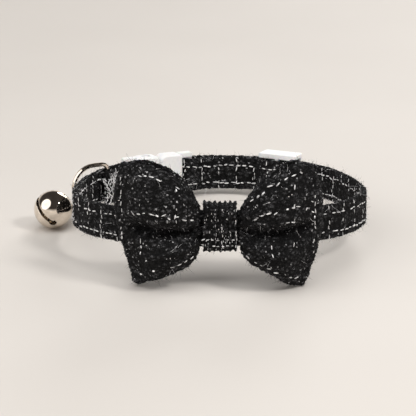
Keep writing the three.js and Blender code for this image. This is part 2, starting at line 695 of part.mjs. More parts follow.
// The bell's shell: a ball cut by a slot that ends in two round holes, with a wire loop on its other pole.
// It is drawn with the slot along X and facing up Z. loopAlong is the way that the loop's top wire runs.
function bell(shankAt, loopAlong) {
  const shell = solid(new THREE.SphereGeometry(bellRadius, 24, 16))
    .subtract(solid(new THREE.SphereGeometry(bellRadius - BELL_WALL, 20, 12)));
  const slotEnd = THREE.MathUtils.degToRad(BELL_SLOT_END);
  const slotSpan = 2 * bellRadius * Math.sin(slotEnd);
  const slot = box(slotSpan, BELL_SLOT, bellRadius, [0, 0, bellRadius * (0.5 + Math.cos(slotEnd))]);
  const holes = [-1, 1].map((side) => solid(
    new THREE.CylinderGeometry(BELL_HOLE / 2, BELL_HOLE / 2, bellRadius, 12)
      .rotateX(Math.PI / 2)
      .translate(0, 0, bellRadius)
      .rotateY(side * slotEnd),
  ));
  const radius = SHANK_LOOP / 2;
  const foot = bellRadius - BELL_WALL / 2;
  const arch = steps(0, 180, 22.5).map((degrees) => {
    const angle = THREE.MathUtils.degToRad(degrees);
    return [radius * Math.cos(angle), shankAt - radius + radius * Math.sin(angle)];
  });
  const track = [[radius, foot], ...arch, [-radius, foot]].map(([aside, out]) => (
    loopAlong.clone().multiplyScalar(aside).addScaledVector(UP, -out)
  ));
  const loop = sweep(track, roundSection(SHANK_WIRE, 6), UP.clone().cross(loopAlong), false);
  return [slot, ...holes].reduce((all, piece) => all.subtract(piece), shell).add(solid(loop));
}

// The line that the bell's slot follows, at right angles to the pole that it crosses.
function slotDirection() {
  const ahead = turned(BELL_TURN, BELL_LIFT - 90);
  const level = turned(BELL_TURN + 90, 0);
  const roll = THREE.MathUtils.degToRad(BELL_ROLL);
  return ahead.multiplyScalar(Math.cos(roll)).addScaledVector(level, Math.sin(roll));
}

function piece(name, geometry, colour, roughness, metalness) {
  const shaped = geometry.index ? geometry : mergeVertices(geometry);
  shaped.computeVertexNormals();
  const material = new THREE.MeshStandardMaterial({ color: colour, roughness, metalness });
  const mesh = new THREE.Mesh(shaped, material);
  mesh.name = name;
  return mesh;
}

const tweed = (name, geometry) => piece(name, geometry, '#1c1d1f', 0.95, 0);
const plastic = (name, geometry) => piece(name, geometry, '#f2f3f4', 0.35, 0);
const metal = (name, geometry) => piece(name, geometry, '#c9c5bf', 0.18, 1);

const plug = setBuckle(bucklePlug());
const socket = setBuckle(buckleSocket());
const slide = slider();
const bowCloth = bow();
const stand = standing([plug, socket, slide], [bowCloth]);

const collar = new THREE.Group();
collar.applyMatrix4(stand);
collar.add(
  tweed('strap', strap()),
  tweed('bow', pressFlat(bowCloth, stand)),
  tweed('bow_knot', knot()),
  piece('bow_keeper', keeper(), '#18191a', 0.9, 0),
  plastic('buckle_plug', plug),
  plastic('buckle_socket', socket),
  plastic('slider', slide),
  metal('d_ring', dRing()),
);

const places = bellPlaces(stand);
const linkMesh = metal('link_ring', link());
linkMesh.position.copy(places.linkMiddle);
linkMesh.quaternion.setFromUnitVectors(UP, places.linkNormal);
const slotAlong = slotDirection();
const slotAside = turned(BELL_TURN, BELL_LIFT).cross(slotAlong);
const loopAlong = new THREE.Vector3(
  places.shankAlong.dot(slotAlong), places.shankAlong.dot(slotAside), 0,
).normalize();
const bellMesh = metal('bell', toGeometry(bell(places.shankAt, loopAlong)));
const bellTurn = new THREE.Matrix4().makeBasis(slotAlong, slotAside, turned(BELL_TURN, BELL_LIFT));
bellMesh.applyMatrix4(bellTurn.setPosition(places.middle));
const ballMesh = metal('bell_ball', new THREE.SphereGeometry(BELL_BALL / 2, 12, 8));
ballMesh.position.copy(places.middle);
ballMesh.position.z -= bellRadius - BELL_WALL - CLEARANCE - BELL_BALL / 2;

const group = new THREE.Group();
group.add(collar, linkMesh, bellMesh, ballMesh);
group.updateMatrixWorld(true);
const middle = new THREE.Box3().setFromObject(group, true).getCenter(new THREE.Vector3());
group.position.set(-middle.x, -middle.y, 0);

export default group;
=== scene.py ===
"""A tweed pet bow tie collar with a white buckle and a nickel bell, on a pale floor. Lengths in metres."""

import math
import random

import bmesh
import bpy
from mathutils import Matrix, Vector, noise
from mathutils.bvhtree import BVHTree


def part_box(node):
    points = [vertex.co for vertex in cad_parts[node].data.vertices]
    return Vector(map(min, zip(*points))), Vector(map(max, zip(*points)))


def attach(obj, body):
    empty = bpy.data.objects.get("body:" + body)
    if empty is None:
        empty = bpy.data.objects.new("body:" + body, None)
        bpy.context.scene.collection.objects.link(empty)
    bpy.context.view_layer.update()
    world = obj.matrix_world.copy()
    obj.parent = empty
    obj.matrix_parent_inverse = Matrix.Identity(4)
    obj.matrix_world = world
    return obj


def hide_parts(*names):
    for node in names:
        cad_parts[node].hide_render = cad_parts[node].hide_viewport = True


MM = 0.001

# The camera: the photograph looks down on the collar's plane by VIEW_RISE, and the plane itself is tipped.
VIEW_RISE = math.radians(14)
VIEW_DISTANCE = 600 * MM
FRAME_PIXELS = 416
PIXELS_PER_MM = 3.25
LOOP_PIXEL = (219.5, 198.0)  # where the middle of the loop lies in the photograph's frame
SENSOR = 36  # mm
CLIP_START = 10 * MM

# The tweed: its yarns, its check and its loose fibres
YARN = 1.15 * MM
YARN_RELIEF = 0.62 * MM
YARN_SUNK = 0.4 * MM  # how far the gaps between yarns lie below the cloth's own face
CHECK_PITCH = 5.8 * MM
THREAD_OUT = 0.12 * MM  # how far the silver thread lies outside the cloth's own face
CHECK_ROWS = (2.6 * MM, -3.1 * MM)  # above and below the strap's middle
LOOP_SQUASH = 0.42  # the share taken off distances across the collar: loops are 1.7 times as long that way
CROWN_REACH = 0.75  # how far from its middle a loop falls to nothing, in yarns
CROWN_STEEP = 2.6  # how sharply the gaps between loops are cut
CURL_STEEP = 2.2
DRIFT_SIZE = 5 * YARN  # the loops wander over this length
DRIFT_SHARE = 0.5  # by this share of a yarn
CURL_SIZE = 0.48 * YARN
HAIR_SIZE = 0.25 * YARN
PATCH_SIZE = 1.9 * YARN
LOOP_SHARE = 0.6  # what each size of curl adds to the height of the yarn
CURL_SHARE = 0.28
HAIR_SHARE = 0.16
PATCH_SHARE = 0.3
CLOTH_STEP = 0.32 * MM
BOW_STEP = 0.33 * MM
KNOT_STEP = 0.25 * MM
NEAR_LEVEL = 0.97  # faces that point up by this much lie along the strap's upper edge

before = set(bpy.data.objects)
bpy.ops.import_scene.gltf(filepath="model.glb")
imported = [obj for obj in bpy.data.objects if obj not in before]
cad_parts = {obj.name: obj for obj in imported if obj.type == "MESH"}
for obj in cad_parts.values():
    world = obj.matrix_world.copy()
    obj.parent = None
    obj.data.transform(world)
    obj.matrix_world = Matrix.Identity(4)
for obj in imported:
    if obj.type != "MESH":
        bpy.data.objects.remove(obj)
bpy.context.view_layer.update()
random.seed(41)


def select_only(*objects):
    """Selects these pieces alone. The last is the active one."""
    bpy.ops.object.select_all(action="DESELECT")
    for o in objects:
        o.select_set(True)
    bpy.context.view_layer.objects.active = objects[-1]


def merged_copy(node, name):
    """A copy of a solid's skin with its corners joined, to be worked on."""
    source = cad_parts[node]
    copy = bpy.data.objects.new(name, source.data.copy())
    bpy.context.scene.collection.objects.link(copy)
    copy.matrix_world = source.matrix_world.copy()
    select_only(copy)
    bpy.ops.object.transform_apply(location=True, rotation=True, scale=True)
    bpy.ops.object.mode_set(mode="EDIT")
    bpy.ops.mesh.select_all(action="SELECT")
    bpy.ops.mesh.remove_doubles(threshold=0.001 * MM)
    bpy.ops.mesh.normals_make_consistent(inside=False)
    bpy.ops.object.mode_set(mode="OBJECT")
    return copy


def new_mesh(name, points, faces):
    """A new piece made of these corners and faces."""
    mesh = bpy.data.meshes.new(name)
    mesh.from_pydata(points, [], faces)
    mesh.update()
    o = bpy.data.objects.new(name, mesh)
    bpy.context.scene.collection.objects.link(o)
    return o


# The collar's own plane

def collar_axes():
    """The tipped strap's own way up, the height of its middle along that way, and half its width."""
    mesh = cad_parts["strap"].data
    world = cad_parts["strap"].matrix_world
    turn = world.to_3x3()
    total = Vector()
    for face in mesh.polygons:
        way = turn @ face.normal
        if way.z > NEAR_LEVEL:
            total += way * face.area
    up = total.normalized()
    heights = [(world @ v.co).dot(up) for v in mesh.vertices]
    return up, (min(heights) + max(heights)) / 2, (max(heights) - min(heights)) / 2


UP, MIDDLE, STRAP_HALF = collar_axes()
ACROSS = Vector((1, 0, 0))
BACK = UP.cross(ACROSS)


def boucle(place):
    """How far the looped yarn stands out at a place, from 0 in the gaps to about 1 on a knot's crown."""
    drift = Vector((noise.noise(place / DRIFT_SIZE), 0, noise.noise(place / DRIFT_SIZE + UP)))
    place = place + drift * DRIFT_SHARE * YARN
    place = place - ACROSS * place.dot(ACROSS) * LOOP_SQUASH
    loop = noise.voronoi(place / YARN)[0]
    dome = math.sqrt(max(0.0, 1.0 - (loop[0] / CROWN_REACH) ** 2))
    crown = dome * min(1.0, CROWN_STEEP * (loop[1] - loop[0]))
    curl = noise.voronoi(place / CURL_SIZE + UP * 7)[0]
    small = min(1.0, CURL_STEEP * (curl[1] - curl[0]))
    hair = noise.noise(place / HAIR_SIZE)
    patch = noise.noise(place / PATCH_SIZE + BACK * 3)
    return LOOP_SHARE * crown + CURL_SHARE * small + HAIR_SHARE * hair + PATCH_SHARE * patch


def keep_heights(mesh, heights):
    """Keeps each corner's yarn height with the mesh, for the finish to read when it paints shade in the gaps
    and light on the crowns.
    """
    layer = mesh.attributes.new("yarn_height", "FLOAT", "POINT")
    layer.data.foreach_set("value", heights)


# The strap

def strap_outline():
    """The strap's plan at its middle height: one closed line, down one face and back up the other."""
    sliced = merged_copy("strap", "strap_slice")
    bm = bmesh.new()
    bm.from_mesh(sliced.data)
    cut = bmesh.ops.bisect_plane(
        bm, geom=bm.verts[:] + bm.edges[:] + bm.faces[:],
        plane_co=UP * MIDDLE, plane_no=UP, clear_inner=True, clear_outer=True,
    )["geom_cut"]
    edges = [e for e in cut if isinstance(e, bmesh.types.BMEdge)]
    vert = edges[0].verts[0]
    line, edge = [], edges[0]
    for _ in edges:
        line.append(vert.co.copy())
        vert = edge.other_vert(vert)
        edge = next(e for e in vert.link_edges if e is not edge)
    bm.free()
    bpy.data.objects.remove(sliced, do_unlink=True)
    return line


def even_line(line, step):
    """The same closed line with its places an even step apart."""
    lengths = [(line[(i + 1) % len(line)] - p).length for i, p in enumerate(line)]
    total = sum(lengths)
    count = round(total / step)
    result, i, walked = [], 0, 0.0
    for k in range(count):
        want = total * k / count
        while walked + lengths[i] < want:
            walked += lengths[i]
            i += 1
        result.append(line[i].lerp(line[(i + 1) % len(line)], (want - walked) / lengths[i]))
    return result


def line_normals(line):
    """The outward ways along a closed line in the collar's plane."""
    area = 0.0
    for i, p in enumerate(line):
        q = line[(i + 1) % len(line)]
        area += p.dot(ACROSS) * q.dot(BACK) - q.dot(ACROSS) * p.dot(BACK)
    side = 1 if area > 0 else -1
    ahead = [(line[(i + 1) % len(line)] - line[i - 1]).normalized() for i in range(len(line))]
    return [a.cross(UP) * side for a in ahead]


END_PROBE = 8  # steps to either side of a place: beside a cut end, these lie on the strap's two faces
END_RUN = range(5, 26)  # steps to either side over which the two faces stay the strap's thickness apart


def from_its_end(line):
    """The same line, started at the middle of one cut end of the strap, where both faces run side by side."""
    across = [line[i - END_PROBE] - line[(i + END_PROBE) % len(line)] for i in range(len(line))]
    thick = min(way.length for way in across)

    def spread(k):
        return sum(abs((line[k - n] - line[(k + n) % len(line)]).length - thick) for n in END_RUN)

    start = min(range(len(line)), key=spread)
    return line[start:] + line[:start]


def side_by_side(line):
    """Triangles between the two faces, from one cut end to the other."""
    i, j = 0, len(line) - 1
    faces = []
    while j - i > 1:
        if (line[i + 1] - line[j]).length < (line[i] - line[j - 1]).length:
            faces.append((i, i + 1, j))
            i += 1
        else:
            faces.append((i, j - 1, j))
            j -= 1
    return faces


STRAP_LINE = from_its_end(even_line(strap_outline(), CLOTH_STEP))
STRAP_OUT = line_normals(STRAP_LINE)
HEM_WAVE = 0.5 * MM
HEM_WAVE_SIZE = 1.3 * YARN
HEM_WAVE_POWER = 6  # keeps the wave to the strap's edges
EDGE_ROUND = 0.55 * MM
EDGE_STEPS = 4
EDGE_INSET = 0.7 * MM


def make_strap():
    """The strap's cloth: rings of its outline from the lower edge to the upper edge, rounded over at both."""
    flat = STRAP_HALF - EDGE_ROUND
    rows = []
    for k in range(EDGE_STEPS):
        turn = math.pi / 2 * (1 - k / EDGE_STEPS)
        rows.append((-flat - EDGE_ROUND * math.sin(turn), EDGE_INSET * (1 - math.cos(turn))))
    count = round(2 * flat / CLOTH_STEP)
    rows += [(-flat + 2 * flat * k / count, 0.0) for k in range(count + 1)]
    rows += [(-rise, inset) for rise, inset in reversed(rows[:EDGE_STEPS])]
    points, heights = [], []
    for rise, inset in rows:
        for p, out in zip(STRAP_LINE, STRAP_OUT):
            place = p + UP * rise
            height = boucle(place + out * YARN)
            wave = HEM_WAVE * noise.noise(place / HEM_WAVE_SIZE) * abs(rise / STRAP_HALF) ** HEM_WAVE_POWER
            lift = YARN_RELIEF * height - YARN_SUNK
            points.append(place + out * (lift - inset) + UP * math.copysign(wave, rise))
            heights.append(height)
    around = len(STRAP_LINE)
    faces = []
    for r in range(len(rows) - 1):
        for i in range(around):
            j = (i + 1) % around
            a, b = r * around, (r + 1) * around
            faces.append((a + i, a + j, b + j, b + i))
    top = (len(rows) - 1) * around
    for i, j, k in side_by_side(STRAP_LINE):
        faces.append((i, j, k))
        faces.append((top + i, top + j, top + k))
    strap = new_mesh("strap_cloth", points, faces)
    keep_heights(strap.data, heights)
    select_only(strap)
    bpy.ops.object.mode_set(mode="EDIT")
    bpy.ops.mesh.select_all(action="SELECT")
    bpy.ops.mesh.normals_make_consistent(inside=False)
    bpy.ops.object.mode_set(mode="OBJECT")
    bpy.ops.object.shade_smooth()
    return strap


# The bow and its knot band

KNOT_LOW, KNOT_HIGH = (Vector(c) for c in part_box("bow_knot"))
BOW_MIDDLE = (KNOT_LOW + KNOT_HIGH) / 2
KNOT_HALF = (KNOT_HIGH.x - KNOT_LOW.x) / 2
HEM_LIFT = 2.2 * MM  # how far the lower hem rises between the knot and the tips
HEM_LIFT_SPAN = 20 * MM
HEM_LOW = 4 * MM  # the lift starts this far below the bow's middle
HEM_FADE = 9 * MM  # and is full this much lower
CREASE_DEPTH = 3 * MM
CREASE_HALF = 1.9 * MM
CREASE_RISE = -1.2 * MM
CREASE_TILT = 0.1  # how much the crease rises on its way out
CREASE_START = 4 * MM  # it deepens over this length beside the knot
CREASE_END = 23 * MM
CREASE_FADE = 6 * MM  # and fades over this length before its end
FRONT_START = 0.5 * MM  # only cloth this far in front of the bow's middle is creased
FRONT_FADE = 2 * MM
GATHER_DEPTH = 0.55 * MM
GATHER_PITCH = 2.5 * MM
GATHER_SPREAD = 0.25  # how much the gathers widen on their way out
GATHER_SPAN = 7 * MM
RIB_PITCH = 1.45 * MM
RIB_DEPTH = 0.3 * MM
RIB_DRIFT = 0.3 * MM
RIB_DRIFT_SIZE = 3 * MM


def ease(x):
    """Rises smoothly from 0 to 1 as x goes from 0 to 1."""
    x = min(1.0, max(0.0, x))
    return x * x * (3 - 2 * x)


def settled_bow(p, _):
    """The bow's cloth as it hangs: a lifted hem beside the knot, a deep crease and gathers at the pinch."""
    place = p - BOW_MIDDLE
    away = abs(place.dot(ACROSS)) - KNOT_HALF
    rise, depth = place.dot(UP), place.dot(BACK)
    if away < 0:
        return Vector()
    low = ease((-rise - HEM_LOW) / HEM_FADE)
    lift = HEM_LIFT * low * math.sin(math.pi * min(1.0, away / HEM_LIFT_SPAN)) ** 2
    crease_rise = CREASE_RISE + CREASE_TILT * away
    near = math.exp(-((rise - crease_rise) / CREASE_HALF) ** 2)
    front = ease((-depth - FRONT_START) / FRONT_FADE)
    back = CREASE_DEPTH * near * front * ease(away / CREASE_START) * ease((CREASE_END - away) / CREASE_FADE)
    fades = ease(1 - away / GATHER_SPAN)
    fold = GATHER_DEPTH * fades * math.cos(2 * math.pi * rise / (GATHER_PITCH + GATHER_SPREAD * away))
    return UP * lift + BACK * (back + fold * front)


def ribbed_knot(p, out):
    """The knot band's upright ribs, which scallop its upper and lower edges."""
    across = (p - BOW_MIDDLE).dot(ACROSS) + RIB_DRIFT * noise.noise(p / RIB_DRIFT_SIZE)
    return out * RIB_DEPTH * math.cos(2 * math.pi * across / RIB_PITCH)


def cloth_from(node, name, voxel, settle):
    """A solid's form in fine even faces, settled as the real cloth is, with the yarns raised on it."""
    cloth = merged_copy(node, name)
    remesh = cloth.modifiers.new("even", "REMESH")
    remesh.mode = "VOXEL"
    remesh.voxel_size = voxel
    bpy.ops.object.modifier_apply(modifier=remesh.name)
    smooth = cloth.modifiers.new("soften", "CORRECTIVE_SMOOTH")
    smooth.iterations = 4
    smooth.use_only_smooth = True
    bpy.ops.object.modifier_apply(modifier=smooth.name)
    mesh = cloth.data
    places = [v.co + settle(v.co, v.normal) for v in mesh.vertices]
    for v, p in zip(mesh.vertices, places):
        v.co = p
    mesh.update()
    heights = [boucle(v.co) for v in mesh.vertices]
    moved = [v.co + v.normal * (YARN_RELIEF * h - YARN_SUNK) for v, h in zip(mesh.vertices, heights)]
    for v, p in zip(mesh.vertices, moved):
        v.co = (p.x, p.y, max(p.z, 0.0))
    keep_heights(mesh, heights)
    mesh.update()
    select_only(cloth)
    bpy.ops.object.shade_smooth()
    return cloth


strap = make_strap()
bow = cloth_from("bow", "bow_cloth", BOW_STEP, settled_bow)
knot = cloth_from("bow_knot", "knot_cloth", KNOT_STEP, ribbed_knot)


# Threads and fibres

SPINDLE_RINGS = (-0.3, 0.0, 0.3)  # where a short thread's rings stand, in shares of its length
SPINDLE_SIDES = 5
FIBRE_RINGS = 4
FIBRE_SIDES = 3
STRAND_SIDES = 4

def spindle(points, faces, middle, ahead, out, length, width, bend=0.0):
    """Adds one short thread, thick in the middle and pointed at both ends."""
    side = ahead.cross(out).normalized()
    base = len(points)
    points.append(middle - ahead * length / 2)
    for t in SPINDLE_RINGS:
        centre = middle + ahead * length * t + out * bend * (0.25 - t * t)
        wide = width * (0.5 - 0.8 * t * t)
        for k in range(SPINDLE_SIDES):
            angle = 2 * math.pi * k / SPINDLE_SIDES
            points.append(centre + side * wide * math.cos(angle) + out * wide * 0.7 * math.sin(angle))
    points.append(middle + ahead * length / 2)
    tip = len(points) - 1
    last = tip - SPINDLE_SIDES
    for k in range(SPINDLE_SIDES):
        j = (k + 1) % SPINDLE_SIDES
        faces.append((base, base + 1 + j, base + 1 + k))
        for a in range(base + 1, last, SPINDLE_SIDES):
            b = a + SPINDLE_SIDES
            faces.append((a + k, a + j, b + j, b + k))
        faces.append((tip, last + k, last + j))


def fibre(points, faces, root, way, curl, length, width):
    """Adds one fine loose hair that curls over as it leaves the cloth."""
    side = way.orthogonal().normalized()
    other = way.cross(side)
    base = len(points)
    for r in range(FIBRE_RINGS):
        t = r / (FIBRE_RINGS - 1)
        centre = root + way * length * t + curl * length * t * t
        wide = width * (1 - 0.7 * t) / 2
        for k in range(FIBRE_SIDES):
            angle = 2 * math.pi * k / FIBRE_SIDES
            points.append(centre + side * wide * math.cos(angle) + other * wide * math.sin(angle))
    for r in range(FIBRE_RINGS - 1):
        for k in range(FIBRE_SIDES):
            j = (k + 1) % FIBRE_SIDES
            a, b = base + FIBRE_SIDES * r, base + FIBRE_SIDES * (r + 1)
            faces.append((a + k, a + j, b + j, b + k))
    faces.append((base + 2, base + 1, base))
    end = base + FIBRE_SIDES * (FIBRE_RINGS - 1)
    faces.append((end, end + 1, end + 2))


ROW_KEEP = 0.82  # the share of its dashes that a row of the strap's check keeps
COLUMN_KEEP = 0.6
COLUMN_DASHES = 7
COLUMN_REACH = 0.86  # how far up and down the strap a column runs, as a share of half its width


def strap_threads():
    """The strap's check: dashes of silver thread along it in rows and up it in columns."""
    points, faces = [], []
    around = len(STRAP_LINE)
    for rise in CHECK_ROWS:
        i = 0.0
        while i < around:
            length = random.uniform(1.0, 1.9) * MM
            k = int(i) % around
            if random.random() < ROW_KEEP:
                place = STRAP_LINE[k] + UP * (rise + random.gauss(0, 0.14 * MM)) + STRAP_OUT[k] * THREAD_OUT
                ahead = (STRAP_LINE[(k + 1) % around] - STRAP_LINE[k - 1]).normalized()
                ahead = (ahead + UP * random.gauss(0, 0.12)).normalized()
                width = random.uniform(0.24, 0.48) * MM
                spindle(points, faces, place, ahead, STRAP_OUT[k], length, width, 0.3 * MM)
            i += (length + random.uniform(0.1, 0.7) * MM) / CLOTH_STEP
    pitch = CHECK_PITCH / CLOTH_STEP
    for column in range(int(around / pitch)):
        for step in range(COLUMN_DASHES):
            k = int(column * pitch + random.gauss(0, 0.5)) % around
            rise = STRAP_HALF * (-COLUMN_REACH + 2 * COLUMN_REACH * step / (COLUMN_DASHES - 1))
            if random.random() < COLUMN_KEEP:
                place = STRAP_LINE[k] + UP * rise + STRAP_OUT[k] * THREAD_OUT
                ahead = (UP + ACROSS * random.gauss(0, 0.15)).normalized()
                length = random.uniform(0.8, 1.7) * MM
                width = random.uniform(0.2, 0.36) * MM
                spindle(points, faces, place, ahead, STRAP_OUT[k], length, width, 0.2 * MM)
    return new_mesh("strap_silver_threads", points, faces)


strap_silver = strap_threads()


def tree_of(o):
    """A piece's faces, sorted so that a line can be shot at them."""
    return BVHTree.FromObject(o, bpy.context.evaluated_depsgraph_get())


BOW_TREE = tree_of(bow)
KNOT_TREE = tree_of(knot)
LOW, HIGH = (Vector(c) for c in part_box("bow"))
REACH = (HIGH.x - LOW.x) / 2
SHOT = 60  # mm from the bow to where a line is shot at it
RISE_STEP = 0.5 * MM
RISE_STEPS = 44  # above and below the bow's middle
LOOK_AHEAD = 0.7 * MM  # how far up a column the cloth's slope is taken


def struck(tree, across, rise, from_back=False):
    """Where a line along the bow's depth first meets the cloth, and the cloth's way out there."""
    way = BACK * (-1 if from_back else 1)
    start = BOW_MIDDLE + ACROSS * across + UP * rise - way * SHOT * MM
    place, normal, _, _ = tree.ray_cast(start, way)
    return place, normal


def lobe_rises(across, from_back=False):
    """The lowest and highest rise at which the bow's cloth is met, at a distance from its middle."""
    rises = [k * RISE_STEP for k in range(-RISE_STEPS, RISE_STEPS + 1)]
    met = [rise for rise in rises if struck(BOW_TREE, across, rise, from_back)[0]]
    return (min(met), max(met)) if met else None


def lobe_line(points, faces, from_back, side, share, start, end, keep):
    """Dashes of silver thread across a lobe, at a share of its height from the foot to the top."""
    across = start * MM
    while across < end * MM:
        length = random.uniform(1.0, 2.0) * MM
        rises = lobe_rises(side * across, from_back)
        if rises and random.random() < keep:
            rise = rises[0] + (rises[1] - rises[0]) * share + random.gauss(0, 0.2 * MM)
            here, out = struck(BOW_TREE, side * across, rise, from_back)
            ahead_rises = lobe_rises(side * (across + MM), from_back)
            if here and ahead_rises:
                next_rise = ahead_rises[0] + (ahead_rises[1] - ahead_rises[0]) * share
                there, _ = struck(BOW_TREE, side * (across + MM), next_rise, from_back)
                if there and (there - here).length < 4 * MM:
                    width = random.uniform(0.28, 0.56) * MM
                    ahead = (there - here).normalized()
                    spindle(points, faces, here + out * 0.08 * MM, ahead, out, length, width, 0.2 * MM)
        across += length + random.uniform(0.1, 0.6) * MM


def lobe_column(points, faces, from_back, side, across, low, high, keep):
    """Dashes of silver thread up a lobe, between two shares of its height."""
    across = across * MM
    rises = lobe_rises(side * across, from_back)
    if not rises:
        return
    share = low
    while share < high:
        length = random.uniform(0.9, 1.7) * MM
        rise = rises[0] + (rises[1] - rises[0]) * share
        here, out = struck(BOW_TREE, side * (across + random.gauss(0, 0.12 * MM)), rise, from_back)
        there, _ = struck(BOW_TREE, side * across, rise + LOOK_AHEAD, from_back)
        if here and there and (there - here).length < 3 * MM and random.random() < keep:
            width = random.uniform(0.22, 0.44) * MM
            ahead = (there - here).normalized()
            spindle(points, faces, here + out * 0.08 * MM, ahead, out, length, width, 0.15 * MM)
        share += (length + random.uniform(0.2, 1.0) * MM) / (rises[1] - rises[0])


# The bow's check: rows at shares of a lobe's height, and columns at distances from the bow's middle, in mm.
BOW_ROWS = (
    {"side": -1, "share": 0.62, "start": 8, "end": 25, "keep": 0.97},
    {"side": -1, "share": 0.93, "start": 12, "end": 27, "keep": 0.5},
    {"side": -1, "share": 0.1, "start": 8, "end": 24, "keep": 0.85},
    {"side": -1, "share": 0.21, "start": 21, "end": 26, "keep": 0.8},
    {"side": 1, "share": 0.68, "start": 10, "end": 27, "keep": 0.9},
    {"side": 1, "share": 0.94, "start": 9, "end": 24, "keep": 0.85},
    {"side": 1, "share": 0.56, "start": 17, "end": 28, "keep": 0.75},
    {"side": 1, "share": 0.08, "start": 8, "end": 25, "keep": 0.85},
)
BOW_COLUMNS = (
    {"side": -1, "across": 28, "low": 0.1, "high": 0.92, "keep": 0.75},
    {"side": -1, "across": 22.5, "low": 0.04, "high": 0.4, "keep": 0.45},
    {"side": -1, "across": 12.5, "low": 0.5, "high": 0.95, "keep": 0.5},
    {"side": 1, "across": 27, "low": 0.1, "high": 0.85, "keep": 0.85},
    {"side": 1, "across": 14.5, "low": 0.1, "high": 0.45, "keep": 0.8},
    {"side": 1, "across": 21, "low": 0.3, "high": 0.9, "keep": 0.35},
)


BOW_GLINTS = 120  # short loose bits of silver thread
KNOT_GLINTS = 60


def bow_threads():
    """The bow's check, front and back, and loose bits of silver thread between its lines."""
    points, faces = [], []
    for from_back in (False, True):
        for row in BOW_ROWS:
            lobe_line(points, faces, from_back, **row)
        for column in BOW_COLUMNS:
            lobe_column(points, faces, from_back, **column)
    for _ in range(BOW_GLINTS):
        across, rise = random.uniform(-REACH, REACH), random.uniform(-19, 19) * MM
        here, out = struck(BOW_TREE, across, rise, random.random() < 0.4)
        if here and abs(across) > KNOT_HALF:
            ahead = ACROSS if random.random() < 0.5 else UP
            ahead = ahead + Vector((random.gauss(0, 0.3), 0, random.gauss(0, 0.3)))
            ahead = (ahead - out * ahead.dot(out)).normalized()
            length = random.uniform(0.3, 0.8) * MM
            spindle(points, faces, here + out * 0.05 * MM, ahead, out, length, random.uniform(0.1, 0.2) * MM)
    return new_mesh("bow_silver_threads", points, faces)


KNOT_ROWS = (-3.1 * MM, -4.9 * MM)
KNOT_COLUMNS = ({"across": 4.6, "keep": 0.9}, {"across": 0.6, "keep": 0.4})


def knot_threads():
    """The knot band's check, on its front, and loose bits of silver thread."""
    points, faces = [], []
    for rise in KNOT_ROWS:
        across = -KNOT_HALF + 0.4 * MM
        while across < KNOT_HALF - 0.4 * MM:
            here, out = struck(KNOT_TREE, across, rise + random.gauss(0, 0.1 * MM))
            if here and random.random() < 0.85:
                ahead = (ACROSS + UP * random.gauss(0.1, 0.15)).normalized()
                length = random.uniform(0.9, 1.4) * MM
                spindle(points, faces, here + out * 0.1 * MM, ahead, out, length, 0.36 * MM, 0.2 * MM)
            across += random.uniform(1.2, 1.7) * MM
    for column in KNOT_COLUMNS:
        for k in range(12):
            rise = (-6 + k * 1.05) * MM
            here, out = struck(KNOT_TREE, column["across"] * MM + random.gauss(0, 0.1 * MM), rise)
            if here and random.random() < column["keep"]:
                length = random.uniform(0.7, 1.2) * MM
                spindle(points, faces, here + out * 0.08 * MM, UP, out, length, 0.24 * MM, 0.15 * MM)
    for _ in range(KNOT_GLINTS):
        here, out = struck(KNOT_TREE, random.uniform(-5, 5) * MM, random.uniform(-6.5, 6.5) * MM)
        if here:
            spindle(points, faces, here + out * 0.05 * MM, UP, out, random.uniform(0.4, 0.8) * MM, 0.18 * MM)
    return new_mesh("knot_silver_threads", points, faces)


bow_silver = bow_threads()
knot_silver = knot_threads()


EDGE_FROM = 0.8  # the strap's edge starts at this share of half its width
HEM_FACING = 0.7  # the bow's hems are the faces that point up or down by this much


def on_strap_edge(face):
    return abs(face.center.dot(UP) - MIDDLE) > EDGE_FROM * STRAP_HALF


def on_bow_hem(face):
    return abs(face.normal.dot(UP)) > HEM_FACING


FLOOR_GAP = 0.2 * MM  # no fibre's tip comes nearer to the floor


def fuzz(name, cloth, count, length, width, edge_share=0.0, on_edge=on_strap_edge):
    """Loose fibres rooted at random faces of a cloth, with a share of them that only roots at its edges."""
    points, faces = [], []
    mesh = cloth.data
    total = len(mesh.polygons)
    made = 0
    while made < count:
        face = mesh.polygons[random.randrange(total)]
        if random.random() < edge_share and not on_edge(face):
            continue
        out = face.normal
        flat = Vector((random.gauss(0, 1), random.gauss(0, 1), random.gauss(0, 1)))
        way = (out * random.uniform(0.2, 1.0) + flat * 0.5).normalized()
        curl = Vector((random.gauss(0, 0.4), random.gauss(0, 0.4), random.gauss(0, 0.4)))
        long = random.uniform(*length) * MM
        tip = face.center + (way + curl) * long
        if tip.z > FLOOR_GAP:
            fibre(points, faces, face.center, way, curl, long, width)
            made += 1
    return new_mesh(name, points, faces)


def strand(points, faces, route, width):
    """Adds a loose thread along a route, thinner towards its end."""
    base = len(points)
    last = len(route) - 1
    for i, place in enumerate(route):
        ahead = (route[min(last, i + 1)] - route[max(0, i - 1)]).normalized()
        side = ahead.cross(UP + ACROSS * 0.3).normalized()
        other = ahead.cross(side)
        wide = width / 2 * (1 - 0.5 * i / last)
        for k in range(STRAND_SIDES):
            angle = math.pi / 2 * k
            points.append(place + side * wide * math.cos(angle) + other * wide * math.sin(angle))
    for i in range(last):
        for k in range(STRAND_SIDES):
            j = (k + 1) % STRAND_SIDES
            a, b = base + STRAND_SIDES * i, base + STRAND_SIDES * (i + 1)
            faces.append((a + k, b + k, b + j, a + j))
    faces.append((base, base + 1, base + 2, base + 3))
    end = base + STRAND_SIDES * last
    faces.append((end + 3, end + 2, end + 1, end))


FRAY_COUNT = 24
FRAY_STEPS = 7
FRAY_BEYOND = 1.2 * MM  # how far a loose thread may stand past the strap's edge


